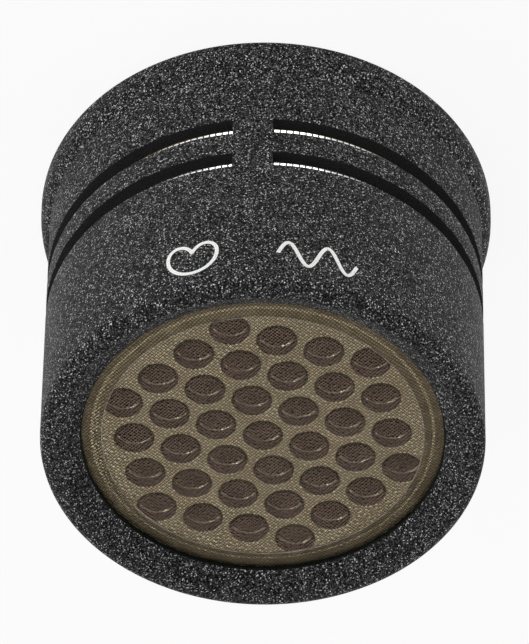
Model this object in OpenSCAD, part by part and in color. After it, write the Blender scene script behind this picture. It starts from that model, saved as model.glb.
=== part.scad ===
// Small condenser microphone capsule with a cardioid pickup.
// It screws on to a slim round microphone body by the thread in its rear.
// Sound enters at the front through a fine gauze and a perforated plate,
// and at the side through two rows of slots that lead behind the diaphragm.
// Millimetres. Z is the capsule's axis, the rear rim lies at z = 0, the front looks along +Z.

/* [Housing] */
// Outside diameter of the plain body
body_d = 21.1; // [20.6:0.1:22]
// Overall length from the rear rim to the front land
length = 17; // [16.4:0.1:20]
// Wall left between the slots' bore and the outside
wall = 0.66; // [0.5:0.02:0.8]
// How far the rear flange stands proud of the body
flange_step = 0.45; // [0.2:0.05:1]
// Height of the whole flange with its shoulder
flange_h = 1.9; // [1.5:0.1:2.6]
// Height of the straight part of the flange
flange_land = 0.8; // [0.5:0.1:1.2]
// Rounding of the rear rim
rim_round = 0.3; // [0.1:0.05:0.4]
// Rounding of the front edge
front_round = 0.5; // [0.2:0.05:0.7]
// Width of the flat land round the front
land_w = 0.45; // [0.2:0.05:0.6]
// How far the lip reaches in over the gauze's rim, to the sound opening
lip_w = 1.11; // [0.8:0.01:1.4]
// Depth of the gauze seat below the front land
lip_drop = 0.97; // [0.6:0.01:1.4]
// Height of the upright edge of the lip over its seat
lip_edge = 0.2; // [0.1:0.05:0.3]

/* [Side slots] */
// Number of slots in a row, with a bridge between each two
slots = 3; // [2:1:6]
// Height of one slot
slot_h = 0.93; // [0.6:0.01:1.2]
// Distance from the rear row to the front row
slot_pitch = 2.38; // [1.8:0.01:2.6]
// Height of the rear row's lower edge above the rear rim
slot_z = 5.31; // [5.2:0.01:5.8]
// Width of a bridge
bridge_w = 1.93; // [1.2:0.01:3]
// Direction of the first bridge
bridge_angle = -86; // [-180:1:180]

/* [Rear thread] */
// Wall left outside the rear thread
thread_wall = 0.4; // [0.3:0.02:0.46]
// Width of the lead-in chamfer
lead_in = 0.2; // [0.1:0.05:0.3]
// Depth at which the thread ends on a shoulder
thread_depth = 2.9; // [2.4:0.1:3.1]
// Distance from that shoulder to the retaining ring
ring_inset = 0.3; // [0:0.05:0.5]

/* [Front plate and gauze] */
// Diameter of one hole in the perforated plate
hole_d = 1.9; // [1.2:0.05:2.1]
// Metal left between the outer holes and the edge of the plate's raised middle
plate_edge = 0.23; // [0.1:0.01:0.4]
// Rings of holes round the middle one
hole_rings = 3; // [1:1:3]
// Direction of the rows of holes
hole_angle = -16.5; // [-30:0.5:30]
// Thickness of the perforated plate
plate_t = 0.68; // [0.4:0.02:1]
// Gap between the plate's raised middle and the lip round it
plateau_gap = 0.5; // [0.3:0.05:0.8]
// Height of the raised middle over the plate's rim
plateau_h = 0.1; // [0.04:0.01:0.2]
// Thickness of the front gauze
gauze_t = 0.05; // [0.04:0.01:0.1]
// Distance between the gauze's strands
strand_pitch = 1.5; // [1.4:0.05:2]
// Width of one strand
strand_w = 0.45; // [0.3:0.05:0.8]

/* [Diaphragm unit] */
// Thickness of the spacer between the plate and the diaphragm ring
spacer_t = 0.55; // [0.3:0.05:0.8]
// Thickness of the diaphragm ring
ring_t = 0.9; // [0.7:0.05:1.2]
// Thickness of the diaphragm foil
foil_t = 0.03; // [0.02:0.01:0.05]
// Air gap between the diaphragm and the backplate
air_gap = 0.05; // [0.03:0.01:0.1]
// Thickness of the backplate
backplate_t = 1.3; // [1.1:0.1:1.6]
// Width of the rim on which the diaphragm ring and the cup are clamped together
clamp_w = 1.66; // [1.6:0.02:2.2]
// Gap between the backplate's edge and the cup
surround = 0.15; // [0.1:0.05:0.25]
// Diameter of the backplate's holes
backplate_hole_d = 0.6; // [0.4:0.05:0.9]
// Number of clamping screws in the diaphragm ring
screws = 6; // [3:1:8]
// Shank diameter of a clamping screw
screw_d = 0.8; // [0.6:0.05:0.9]
// Head diameter of a clamping screw
screw_head_d = 1.3; // [1.1:0.05:1.35]
// Head height of a clamping screw
screw_head_h = 0.4; // [0.3:0.05:0.5]
// Length of a clamping screw's shank in the cup
screw_grip = 1.1; // [0.8:0.1:1.4]

/* [Delay chamber] */
// Thickness of the damping felt
felt_t = 0.4; // [0.3:0.1:0.7]
// Thickness of the delay plate
delay_t = 0.5; // [0.4:0.1:0.7]
// Number of holes in the delay plate
delay_holes = 8; // [4:1:12]
// Diameter of the delay plate's holes
delay_hole_d = 0.8; // [0.5:0.1:1]
// Thickness of the resistance gauze
resist_t = 0.1; // [0.06:0.01:0.15]
// Thickness of the cup's floor
floor_t = 0.8; // [0.6:0.1:1]
// Width of the ledge that the backplate rests on
ledge_w = 0.65; // [0.4:0.05:0.8]
// Diameter of the floor's inlet holes
inlet_d = 1; // [0.6:0.1:1.2]
// Number of inlet holes
inlets = 12; // [6:1:16]
// Distance from the inlet holes to the chamber's wall
inlet_inset = 0.5; // [0.3:0.1:1.5]
// Section diameter of the sealing ring
seal_d = 0.42; // [0.36:0.02:0.5]
// Wall of the spacer cage behind the slots
cage_wall = 0.6; // [0.4:0.05:1]
// Height of the cage's two end rings, with the windows between them
cage_rim = 0.5; // [0.3:0.05:0.6]
// Thickness of the slot gauze
band_t = 0.08; // [0.06:0.01:0.12]
// Number of openings round the slot gauze
band_gaps = 60; // [40:2:60]

/* [Rear contact] */
// Thickness of the retaining ring
lock_t = 0.8; // [0.6:0.1:1]
// Width of the retaining ring
lock_w = 2.4; // [2:0.05:3]
// Width of a spanner notch in the retaining ring
notch_w = 1.4; // [1:0.1:2]
// Depth of a spanner notch from the ring's bore
notch_depth = 1.2; // [0.8:0.1:1.6]
// Thickness of the rear insulator's disc
disc_t = 0.6; // [0.5:0.05:0.7]
// Diameter of the rear insulator's hub
hub_d = 6; // [5:0.1:8]
// How far the hub stands out behind the disc
hub_rear = 0.2; // [0.1:0.05:0.3]
// How far the hub stands out in front of the disc
hub_front = 1; // [0.6:0.1:1.6]
// Shank diameter of the centre contact
contact_d = 1.8; // [1.4:0.1:2]
// Head diameter of the centre contact
contact_head_d = 3; // [2.4:0.1:3.6]
// Head height of the centre contact, with its dome
contact_head_h = 0.7; // [0.5:0.05:0.9]
// How far the contact's shank stands out of its nut
contact_over = 0.4; // [0.2:0.1:0.8]
// Width across the flats of the contact's nut
nut_af = 3.2; // [2.8:0.1:3.6]
// Thickness of the contact's nut
nut_t = 0.8; // [0.6:0.1:1]
// Wire diameter of the contact spring
wire_d = 0.3; // [0.2:0.02:0.36]
// Turns of the contact spring
turns = 4; // [3:1:5]
// Shank diameter of the backplate's screw
stud_d = 1.5; // [1.2:0.1:1.6]
// Head diameter of the backplate's screw
stud_head_d = 3.2; // [3:0.1:3.6]
// Head height of the backplate's screw
stud_head_h = 0.8; // [0.5:0.1:0.9]
// Depth that the backplate's screw enters the backplate
stud_grip = 0.8; // [0.5:0.1:0.9]
// Outside diameter of the terminal washer
washer_d = 4.2; // [3.8:0.1:5]
// Thickness of the terminal washer
washer_t = 0.15; // [0.1:0.05:0.3]

/* [Fits] */
// Clearance between round faces that fit one in the other
fit = 0.05; // [0.03:0.01:0.06]

/* [Hidden] */
$fn = 96;
// Overlap that joins solids of one piece, and the reach of a cut past its piece
eps = 0.01;
past = 1;
// Least metal or plastic left between a hole and the edge beside it
hole_edge = 0.4;
// Wire of the slot gauze left between two of its openings
band_post = 0.4;
// Width of the gauze's plain border on the plate's raised middle
weave_border = 0.5;

// Radii, from the outside inwards
body_r = body_d / 2;
flange_r = body_r + flange_step;
thread_r = body_r - thread_wall;
bore_r = body_r - wall;
band_r = bore_r - fit;
unit_r = band_r - band_t - fit;
seat_bore_r = unit_r + fit;
land_r = body_r - front_round - land_w;
opening_r = unit_r - lip_w;
plateau_r = opening_r - plateau_gap;
hole_pitch = (plateau_r - plate_edge - hole_d / 2) / hole_rings;
cavity_r = unit_r - clamp_w;
backplate_r = cavity_r - surround;
chamber_r = backplate_r - ledge_w;
disc_fill_r = chamber_r - fit;
lock_bore_r = band_r - lock_w;
shoulder_h = flange_h - flange_land;
shoulder_r = (shoulder_h * shoulder_h + flange_step * flange_step) / (2 * flange_step);

// Heights of the front stack, from the lip down
seat_z = length - lip_drop;
plate_z = seat_z - gauze_t - plate_t + plateau_h;
spacer_z = plate_z - spacer_t;
ring_low_z = spacer_z - ring_t;
foil_z = ring_low_z - foil_t;
rim_z = foil_z - air_gap;
backplate_z = rim_z - backplate_t;
felt_z = backplate_z - felt_t;
delay_z = felt_z - delay_t;
floor_z = delay_z - resist_t;
cup_z = floor_z - floor_t;
washer_z = cup_z - washer_t;
stud_head_z = washer_z - stud_head_h;

// Heights of the rear stack, from the rim up
ring_z = thread_depth + ring_inset;
disc_z = ring_z + lock_t;
cage_z = disc_z + disc_t;
hub_low_z = disc_z - hub_rear;
nut_z = cage_z + hub_front;
spring_z = nut_z + nut_t;
contact_end_z = spring_z + contact_over;

// Places that follow from the sizes above
band_low_z = cage_z + fit;
band_top_z = cup_z - fit;
window_low_z = cage_z + cage_rim;
window_h = cup_z - cage_rim - window_low_z;
screw_circle_r = (cavity_r + unit_r) / 2;
spring_r = contact_d / 2 + fit + wire_d;
seal_r = seal_d / 2;
seal_groove_r = seat_bore_r - fit - seal_d - fit;
seal_z = (backplate_z + floor_z) / 2;

// A flat ring or washer that stands on height z
module ring(outer, inner, z, t) {
    translate([0, 0, z]) difference() {
        cylinder(r = outer, h = t);
        translate([0, 0, -past]) cylinder(r = inner, h = t + 2 * past);
    }
}

// Copies of a child round the axis, with the first one at angle first
module around(count, radius, first = 0) {
    for (i = [0 : count - 1])
        rotate(first + i * 360 / count) translate([radius, 0, 0]) children();
}

// Corner of a square that a rounding takes away, with the corner at the origin
module corner_waste(r) {
    translate([-r, -r]) difference() {
        square(r + past);
        circle(r);
    }
}

// Half section of the body's outside: plain body with its rounded front edge
module body_outline() {
    difference() {
        square([body_r, length]);
        translate([body_r, length]) corner_waste(front_round);
    }
}

// Half section of the rear flange: rounded rim, straight land and crowned shoulder
module flange_outline() {
    difference() {
        square([flange_r, flange_h]);
        translate([flange_r, 0]) mirror([0, 1]) corner_waste(rim_round);
        translate([flange_r - shoulder_r, flange_land]) intersection() {
            difference() {
                square(2 * shoulder_r);
                circle(shoulder_r);
            }
            square([2 * shoulder_r, shoulder_h + past]);
        }
    }
}

// Half section of the space inside: thread bore, slot bore, seat bore and the open front
module bore_outline() {
    polygon([
        [0, -past], [thread_r + lead_in + past, -past], [thread_r, lead_in], [thread_r, thread_depth],
        [bore_r, thread_depth], [bore_r, cup_z], [seat_bore_r, cup_z], [seat_bore_r, seat_z],
        [opening_r, seat_z], [opening_r, seat_z + lip_edge], [land_r, length], [land_r, length + past],
        [0, length + past]
    ]);
}

// Bars that stand where the bridges are, and reach past a cut of height h
module bridges(h) {
    for (i = [0 : slots - 1])
        rotate(bridge_angle + i * 360 / slots)
            translate([0, -bridge_w / 2, -past]) cube([body_r + 2 * past, bridge_w, h + 2 * past]);
}

// One row of slots: a flat ring of air, interrupted by the bridges
module slot_row(z) {
    translate([0, 0, z]) difference() {
        cylinder(r = body_r + past, h = slot_h);
        translate([0, 0, -past]) cylinder(r = unit_r, h = slot_h + 2 * past);
        bridges(slot_h);
    }
}

// Turned body in one piece: flange, tube, slots and the lip that holds the gauze
module housing() {
    color([0.2, 0.2, 0.21]) difference() {
        rotate_extrude() difference() {
            union() {
                body_outline();
                flange_outline();
            }
            bore_outline();
        }
        slot_row(slot_z);
        slot_row(slot_z + slot_pitch);
    }
}

// Parallel strands that fill a disc of the given radius
module strands(r) {
    count = floor(r / strand_pitch);
    intersection() {
        circle(r);
        for (i = [-count : count])
            translate([-r, i * strand_pitch - strand_w / 2]) square([2 * r, strand_w]);
    }
}

// Woven disc, pressed up over the plate's raised middle, with its edge under the lip
module front_gauze() {
    top_z = seat_z + plateau_h;
    step_r = plateau_r + fit;
    weave_r = plateau_r - weave_border;
    color([0.72, 0.6, 0.36]) {
        ring(unit_r, step_r, seat_z - gauze_t, gauze_t);
        ring(step_r + gauze_t, step_r, seat_z - gauze_t, plateau_h + gauze_t);
        ring(step_r + gauze_t, weave_r, top_z - gauze_t, gauze_t);
        translate([0, 0, top_z - gauze_t]) linear_extrude(gauze_t / 2) strands(weave_r + eps);
        translate([0, 0, top_z - gauze_t / 2]) linear_extrude(gauze_t / 2) rotate(90) strands(weave_r + eps);
    }
}

// Places of the holes: rings of a hexagonal pattern round the middle hole
hole_places = [
    for (q = [-hole_rings : hole_rings], r = [-hole_rings : hole_rings])
        if (abs(q + r) <= hole_rings) hole_pitch * [q + r / 2, r * sqrt(3) / 2]
];

// Brass plate behind the gauze, drilled all over, with a raised middle
module perforated_plate() {
    color([0.8, 0.66, 0.4]) difference() {
        union() {
            translate([0, 0, plate_z]) cylinder(r = unit_r, h = plate_t - plateau_h);
            translate([0, 0, plate_z]) cylinder(r = plateau_r, h = plate_t);
        }
        rotate(hole_angle) for (p = hole_places)
            translate([p[0], p[1], plate_z - past]) cylinder(d = hole_d, h = plate_t + 2 * past, $fn = 48);
    }
}

// Plain ring that keeps the plate off the diaphragm ring
module front_spacer() {
    color([0.75, 0.75, 0.72]) ring(unit_r, opening_r, spacer_z, spacer_t);
}

// Clearance holes for the clamping screws through a layer that stands on height z
module screw_holes(z, t) {
    around(screws, screw_circle_r) translate([0, 0, z - past])
        cylinder(d = screw_d + 2 * fit, h = t + 2 * past, $fn = 32);
}

// Ring that the diaphragm is stretched over, with sunk holes for the screws
module diaphragm_ring() {
    color([0.82, 0.68, 0.35]) difference() {
        ring(unit_r, cavity_r, ring_low_z, ring_t);
        screw_holes(ring_low_z, ring_t);
        around(screws, screw_circle_r) translate([0, 0, spacer_z - screw_head_h])
            cylinder(d = screw_head_d + 2 * fit, h = screw_head_h + past, $fn = 32);
    }
}

// Slotted screws that clamp the diaphragm ring to the cup
module ring_screws() {
    color([0.7, 0.7, 0.7]) around(screws, screw_circle_r) difference() {
        union() {
            translate([0, 0, spacer_z - screw_head_h]) cylinder(d = screw_head_d, h = screw_head_h, $fn = 32);
            translate([0, 0, rim_z - screw_grip])
                cylinder(d = screw_d, h = spacer_z - screw_head_h / 2 - rim_z + screw_grip, $fn = 32);
        }
        translate([-screw_head_d, -screw_d / 8, spacer_z - screw_head_h / 2])
            cube([2 * screw_head_d, screw_d / 4, screw_head_h]);
    }
}

// Metallised foil, clamped under its ring
module diaphragm() {
    color([0.95, 0.8, 0.45]) difference() {
        translate([0, 0, foil_z]) cylinder(r = unit_r - fit, h = foil_t);
        screw_holes(foil_z, foil_t);
    }
}

// Insulating foil ring that sets the air gap over the backplate
module gap_ring() {
    color([0.9, 0.85, 0.7]) difference() {
        ring(unit_r - fit, cavity_r, rim_z, air_gap);
        screw_holes(rim_z, air_gap);
    }
}

// Fixed electrode: drilled disc with a blind hole for its screw
module backplate() {
    rows = 3;
    row_turn = 15;
    last_r = chamber_r - backplate_hole_d / 2 - hole_edge;
    color([0.85, 0.85, 0.8]) difference() {
        translate([0, 0, backplate_z]) cylinder(r = backplate_r, h = backplate_t);
        for (i = [1 : rows])
            around(6 * i, last_r * i / rows, row_turn * i) translate([0, 0, backplate_z - past])
                cylinder(d = backplate_hole_d, h = backplate_t + 2 * past, $fn = 24);
        translate([0, 0, backplate_z - past])
            cylinder(d = stud_d + 2 * fit, h = past + stud_grip + 2 * fit, $fn = 32);
    }
}

// Screw that holds the backplate in the cup and carries its signal
module backplate_screw() {
    slot_w = stud_d / 4;
    color([0.85, 0.75, 0.45]) difference() {
        union() {
            translate([0, 0, stud_head_z]) cylinder(d = stud_head_d, h = stud_head_h, $fn = 48);
            translate([0, 0, stud_head_z])
                cylinder(d = stud_d, h = backplate_z + stud_grip - stud_head_z, $fn = 32);
        }
        translate([-stud_head_d, -slot_w / 2, stud_head_z - past])
            cube([2 * stud_head_d, slot_w, past + stud_head_h / 2]);
    }
}

// Thin washer under the backplate screw's head
module terminal_washer() {
    color([0.8, 0.7, 0.4]) ring(washer_d / 2, stud_d / 2 + fit, washer_z, washer_t);
}

// Moulded cup that insulates the backplate and holds the delay chamber
module insulator_cup() {
    inlet_r = chamber_r - inlet_d / 2 - inlet_inset;
    color([0.93, 0.92, 0.86]) difference() {
        translate([0, 0, cup_z]) cylinder(r = unit_r, h = rim_z - cup_z);
        translate([0, 0, backplate_z]) cylinder(r = cavity_r, h = backplate_t + past);
        translate([0, 0, floor_z]) cylinder(r = chamber_r, h = rim_z - floor_z);
        translate([0, 0, cup_z - past]) cylinder(d = stud_d + 2 * fit, h = floor_t + 2 * past, $fn = 32);
        around(inlets, inlet_r) translate([0, 0, cup_z - past])
            cylinder(d = inlet_d, h = floor_t + 2 * past, $fn = 24);
        around(screws, screw_circle_r) translate([0, 0, rim_z - screw_grip - 2 * fit])
            cylinder(d = screw_d + 2 * fit, h = screw_grip + past, $fn = 32);
        ring(unit_r + past, seal_groove_r, seal_z - seal_r - fit, seal_d + 2 * fit);
    }
}

// Rubber ring in the cup's groove that parts the front air from the rear air
module seal_ring() {
    color([0.1, 0.1, 0.1]) translate([0, 0, seal_z])
        rotate_extrude() translate([seal_groove_r + fit + seal_r, 0]) circle(d = seal_d, $fn = 32);
}

// Felt that fills the space under the backplate
module damping_felt() {
    color([0.85, 0.82, 0.75]) ring(disc_fill_r, stud_d / 2 + fit, felt_z, felt_t);
}

// Drilled disc that makes the sound from the slots arrive late
module delay_plate() {
    color([0.78, 0.62, 0.35]) difference() {
        ring(disc_fill_r, stud_d / 2 + fit, delay_z, delay_t);
        around(delay_holes, disc_fill_r / 2) translate([0, 0, delay_z - past])
            cylinder(d = delay_hole_d, h = delay_t + 2 * past, $fn = 24);
    }
}

// Very fine gauze disc over the floor's inlet holes
module resistance_gauze() {
    color([0.7, 0.7, 0.66]) ring(disc_fill_r, stud_d / 2 + fit, floor_z, resist_t);
}

// Turned sleeve with windows that presses the cup forward and lets the slots breathe
module slot_cage() {
    color([0.8, 0.8, 0.78]) difference() {
        ring(unit_r, unit_r - cage_wall, cage_z, cup_z - cage_z);
        translate([0, 0, window_low_z]) difference() {
            cylinder(r = unit_r + past, h = window_h);
            bridges(window_h);
        }
    }
}

// Band of gauze between the housing and the cage, open in two rows behind the slots
module slot_gauze() {
    gap_w = 2 * PI * band_r / band_gaps - band_post;
    color([0.85, 0.85, 0.82]) difference() {
        ring(band_r, band_r - band_t, band_low_z, band_top_z - band_low_z);
        for (row = [0, 1])
            around(band_gaps, band_r) translate([-past, -gap_w / 2, slot_z + row * slot_pitch])
                cube([2 * past, gap_w, slot_h]);
    }
}

// Point of the spring's wire path at turn t, with flat ends
function spring_path(t, low, high) = [
    spring_r * cos(360 * t),
    spring_r * sin(360 * t),
    low + (high - low) * min(1, max(0, (t - 0.75) / (turns - 1.5)))
];

// Wire of round section, swept along the spring's path
module contact_spring() {
    sides = 8;
    steps = 24 * turns;
    low = spring_z + wire_d / 2;
    high = stud_head_z - wire_d / 2;
    rings = [
        for (i = [0 : steps])
            let (t = i * turns / steps, c = spring_path(t, low, high), a = 360 * t)
                for (j = [0 : sides - 1])
                    let (b = 360 * (j + 0.5) / sides, w = wire_d / 2)
                        c + [w * cos(b) * cos(a), w * cos(b) * sin(a), w * sin(b)]
    ];
    walls = [
        for (i = [0 : steps - 1], j = [0 : sides - 1])
            [i * sides + j, i * sides + (j + 1) % sides, (i + 1) * sides + (j + 1) % sides, (i + 1) * sides + j]
    ];
    caps = [
        [for (j = [sides - 1 : -1 : 0]) j],
        [for (j = [0 : sides - 1]) steps * sides + j]
    ];
    color([0.75, 0.7, 0.5]) polyhedron(points = rings, faces = concat(walls, caps), convexity = 8);
}

// Six-sided nut that pulls the centre contact into the hub
module contact_nut() {
    color([0.8, 0.7, 0.4]) translate([0, 0, nut_z]) difference() {
        cylinder(d = nut_af / cos(30), h = nut_t, $fn = 6);
        translate([0, 0, -past]) cylinder(d = contact_d + 2 * fit, h = nut_t + 2 * past, $fn = 32);
    }
}

// Gilded stud whose domed head meets the contact in the microphone body
module centre_contact() {
    head_r = contact_head_d / 2;
    dome_h = contact_head_h / 2;
    dome_r = (head_r * head_r + dome_h * dome_h) / (2 * dome_h);
    color([0.95, 0.78, 0.4]) {
        translate([0, 0, hub_low_z]) rotate_extrude() intersection() {
            translate([0, -contact_head_h]) square([head_r, contact_head_h]);
            translate([0, dome_r - contact_head_h]) circle(dome_r);
        }
        translate([0, 0, hub_low_z - dome_h])
            cylinder(d = contact_d, h = contact_end_z - hub_low_z + dome_h, $fn = 48);
    }
}

// Moulded disc with a hub that closes the rear and holds the centre contact
module rear_insulator() {
    color([0.12, 0.12, 0.12]) difference() {
        union() {
            translate([0, 0, disc_z]) cylinder(r = unit_r, h = disc_t);
            translate([0, 0, hub_low_z]) cylinder(d = hub_d, h = hub_rear + disc_t + hub_front);
        }
        translate([0, 0, hub_low_z - past])
            cylinder(d = contact_d + 2 * fit, h = nut_z - hub_low_z + 2 * past, $fn = 48);
    }
}

// Threaded ring with spanner notches that clamps the whole stack from the rear
module retaining_ring() {
    color([0.8, 0.66, 0.38]) difference() {
        ring(band_r, lock_bore_r, ring_z, lock_t);
        for (side = [0, 180]) rotate(side)
            translate([lock_bore_r - past, -notch_w / 2, ring_z - past])
                cube([past + notch_depth, notch_w, past + lock_t / 2]);
    }
}

housing();
front_gauze();
perforated_plate();
front_spacer();
diaphragm_ring();
ring_screws();
diaphragm();
gap_ring();
backplate();
backplate_screw();
terminal_washer();
insulator_cup();
seal_ring();
damping_felt();
delay_plate();
resistance_gauze();
slot_cage();
slot_gauze();
contact_spring();
contact_nut();
centre_contact();
rear_insulator();
retaining_ring();
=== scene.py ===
# Looks of a small condenser microphone capsule: a turned housing in dark textured paint, a fine
# bronze gauze over a drilled brass plate, bright gauze behind the side slots, and a brass socket
# with a gilded contact in the rear. All pieces are turned, drilled or woven metal and plastic.
import math
import bpy
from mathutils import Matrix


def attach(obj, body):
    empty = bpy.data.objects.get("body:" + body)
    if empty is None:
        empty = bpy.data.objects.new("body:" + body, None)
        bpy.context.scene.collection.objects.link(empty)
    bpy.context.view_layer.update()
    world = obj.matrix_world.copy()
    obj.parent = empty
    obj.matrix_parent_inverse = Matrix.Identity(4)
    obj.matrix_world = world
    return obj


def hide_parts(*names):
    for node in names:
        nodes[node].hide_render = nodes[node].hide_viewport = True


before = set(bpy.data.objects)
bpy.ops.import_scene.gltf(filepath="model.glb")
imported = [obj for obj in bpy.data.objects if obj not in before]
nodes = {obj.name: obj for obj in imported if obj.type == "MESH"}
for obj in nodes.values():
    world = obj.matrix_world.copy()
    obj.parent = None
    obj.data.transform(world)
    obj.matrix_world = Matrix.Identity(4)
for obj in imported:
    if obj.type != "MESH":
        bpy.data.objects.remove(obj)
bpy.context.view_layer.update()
scene = bpy.context.scene
MM = 0.001

# Camera
# The photograph looks down on the sound inlet from 48 degrees, with the capsule upside down in
# the picture. A long lens keeps the perspective flat.
camera_target = (0.0, -0.99 * MM, 9.12 * MM)
camera_distance = 347.8 * MM
camera_elevation = math.radians(47.926)
camera_roll = math.radians(-179.155)
camera_lens = 405.08
camera_sensor = 36
camera_near = 10 * MM

bpy.ops.object.camera_add()
camera = bpy.context.object
camera.data.lens = camera_lens
camera.data.sensor_width = camera_sensor
camera.data.clip_start = camera_near
camera.location = (
    camera_target[0],
    camera_target[1] - camera_distance * math.cos(camera_elevation),
    camera_target[2] + camera_distance * math.sin(camera_elevation),
)
camera.rotation_euler = (math.pi / 2 - camera_elevation, 0, 0)
camera.rotation_euler.rotate_axis("Z", camera_roll)
scene.camera = camera

# Housing
# One turned brass tube with a rear flange, a front lip that holds the gauze and two rows of milled
# slots. Outside it is coated with a dark paint of fine grain, whose brightest specks are painted
# highlights. The slots are smooth and black, and the lip's inner edge is smooth with painted shade,
# near black with a green tinge.
body_r = 10.55 * MM
flange_r = 11.0 * MM
length = 17.0 * MM
flange_land = 0.8 * MM
flange_h = 1.9 * MM
rim_round = 0.3 * MM
front_round = 0.5 * MM
land_r = 9.6 * MM
opening_r = 8.6 * MM
seat_z = 16.03 * MM
lip_edge = 0.2 * MM
lip_band = 0.06
seat_bore_r = 9.76 * MM
cup_z = 10.77 * MM
bore_r = 9.89 * MM
thread_depth = 2.9 * MM
thread_r = 10.15 * MM
lead_in = 0.2 * MM
slot_rows = (5.31 * MM, 7.69 * MM)
slot_h = 0.93 * MM
slots = 3
bridge_w = 1.93 * MM
bridge_angle = math.radians(-86.25)
lip_band_r = opening_r + lip_band * (land_r - opening_r)
lip_band_z = seat_z + lip_edge + lip_band * (length - seat_z - lip_edge)
edge_break = 0.03 * MM
turning_steps = 240
rim_steps = 6
round_steps = 10
weld = 0.001 * MM
wall_tilt = 0.1
smooth_angle = 35


def arc(centre, radius, start, end, steps):
    """Points of a turned curve, from one angle in degrees to another."""
    points = []
    for i in range(steps + 1):
        a = math.radians(start + (end - start) * i / steps)
        points.append((centre[0] + radius * math.cos(a), centre[1] + radius * math.sin(a)))
    return points


def edit(piece, mode="VERT"):
    """Opens one piece for editing, with nothing selected in it."""
    bpy.ops.object.select_all(action="DESELECT")
    piece.select_set(True)
    bpy.context.view_layer.objects.active = piece
    bpy.ops.object.mode_set(mode="EDIT")
    bpy.ops.mesh.select_mode(type=mode)
    bpy.ops.mesh.select_all(action="DESELECT")


def draw(name, outline, closed=True):
    """Draws an outline of (radius, height) points, edge by edge, and leaves it open for editing."""
    bpy.ops.object.select_all(action="DESELECT")
    bpy.ops.mesh.primitive_plane_add(size=MM)
    piece = bpy.context.object
    piece.name = name
    edit(piece)
    bpy.ops.mesh.select_all(action="SELECT")
    bpy.ops.mesh.merge(type="CENTER")
    at = (0.0, 0.0)
    for r, z in outline + outline[:1] if closed else outline:
        bpy.ops.mesh.extrude_region_move(TRANSFORM_OT_translate={"value": (r - at[0], 0, z - at[1])})
        at = (r, z)
    bpy.ops.mesh.select_all(action="DESELECT")
    bpy.ops.object.mode_set(mode="OBJECT")
    piece.data.vertices[0].select = True
    bpy.ops.object.mode_set(mode="EDIT")
    bpy.ops.mesh.delete(type="VERT")
    bpy.ops.mesh.select_all(action="SELECT")
    bpy.ops.mesh.remove_doubles(threshold=weld)
    return piece


def turned(name, outline, steps=turning_steps, closed=True):
    """Turns an outline round the axis, as on a lathe."""
    piece = draw(name, outline, closed)
    bpy.ops.mesh.spin(steps=steps, angle=2 * math.pi, center=(0, 0, 0), axis=(0, 0, 1))
    bpy.ops.mesh.select_all(action="SELECT")
    bpy.ops.mesh.remove_doubles(threshold=weld)
    bpy.ops.mesh.normals_make_consistent(inside=False)
    bpy.ops.object.mode_set(mode="OBJECT")
    return piece


def chamfer(piece, width, segments=2, angle=smooth_angle):
    """Breaks the sharp edges of a piece and shades the rest smooth."""
    bevel = piece.modifiers.new("edges", "BEVEL")
    bevel.width = width
    bevel.segments = segments
    bevel.limit_method = "ANGLE"
    bevel.angle_limit = math.radians(angle)
    bpy.ops.object.select_all(action="DESELECT")
    piece.select_set(True)
    bpy.context.view_layer.objects.active = piece
    bpy.ops.object.modifier_apply(modifier="edges")
    bpy.ops.object.shade_smooth_by_angle(angle=math.radians(angle))


shoulder_h = flange_h - flange_land
shoulder_step = flange_r - body_r
shoulder_r = (shoulder_h ** 2 + shoulder_step ** 2) / (2 * shoulder_step)
shoulder_end = math.degrees(math.asin(shoulder_h / shoulder_r))
slot_levels = [z + dz for z in slot_rows for dz in (0, slot_h)]
housing_outline = (
    [(thread_r + lead_in, 0)]
    + arc((flange_r - rim_round, rim_round), rim_round, -90, 0, rim_steps)
    + arc((flange_r - shoulder_r, flange_land), shoulder_r, 0, shoulder_end, round_steps)
    + [(body_r, z) for z in slot_levels]
    + arc((body_r - front_round, length - front_round), front_round, 0, 90, round_steps)
    + [(land_r, length), (lip_band_r, lip_band_z), (opening_r, seat_z + lip_edge)]
    + [(opening_r, seat_z), (seat_bore_r, seat_z)]
    + [(seat_bore_r, cup_z), (bore_r, cup_z)]
    + [(bore_r, z) for z in reversed(slot_levels)]
    + [(bore_r, thread_depth), (thread_r, thread_depth), (thread_r, lead_in)]
)
housing = turned("housing_body", housing_outline)


def slot_faces(low, high, turn):
    """Selects the faces of both walls between two bridges, in one row of slots."""
    half_bridge = math.asin(bridge_w / 2 / body_r)
    sector = 2 * math.pi / slots
    for face in housing.data.polygons:
        x, y, z = face.center
        angle = (math.atan2(y, x) - bridge_angle - turn) % (2 * math.pi)
        on_wall = abs(face.normal.z) < wall_tilt
        face.select = on_wall and low < z < high and half_bridge < angle < sector - half_bridge


for low in slot_rows:
    for i in range(slots):
        edit(housing, "FACE")
        bpy.ops.object.mode_set(mode="OBJECT")
        slot_faces(low, low + slot_h, i * 2 * math.pi / slots)
        bpy.ops.object.mode_set(mode="EDIT")
        bpy.ops.mesh.bridge_edge_loops()
        bpy.ops.object.mode_set(mode="OBJECT")

chamfer(housing, edge_break)

paint_dark = (0.0003, 0.0003, 0.0003)
paint_mid = (0.010, 0.010, 0.0103)
paint_light = (0.036, 0.036, 0.037)
grain_sheen_painted = (0.125, 0.125, 0.128)
grain_glint_painted = (0.68, 0.68, 0.69)
# The two brightest stops paint highlights on the grains of the paint.
paint_stops = [
    (0.18, paint_dark), (0.45, paint_mid), (0.66, paint_light), (0.80, grain_sheen_painted), (0.93, grain_glint_painted),
]
paint_grain = 0.05 * MM
paint_relief = 0.03 * MM
paint_gloss = 0.02
slot_dark = (0.009, 0.009, 0.009)
slot_worn = (0.03, 0.03, 0.03)
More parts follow.
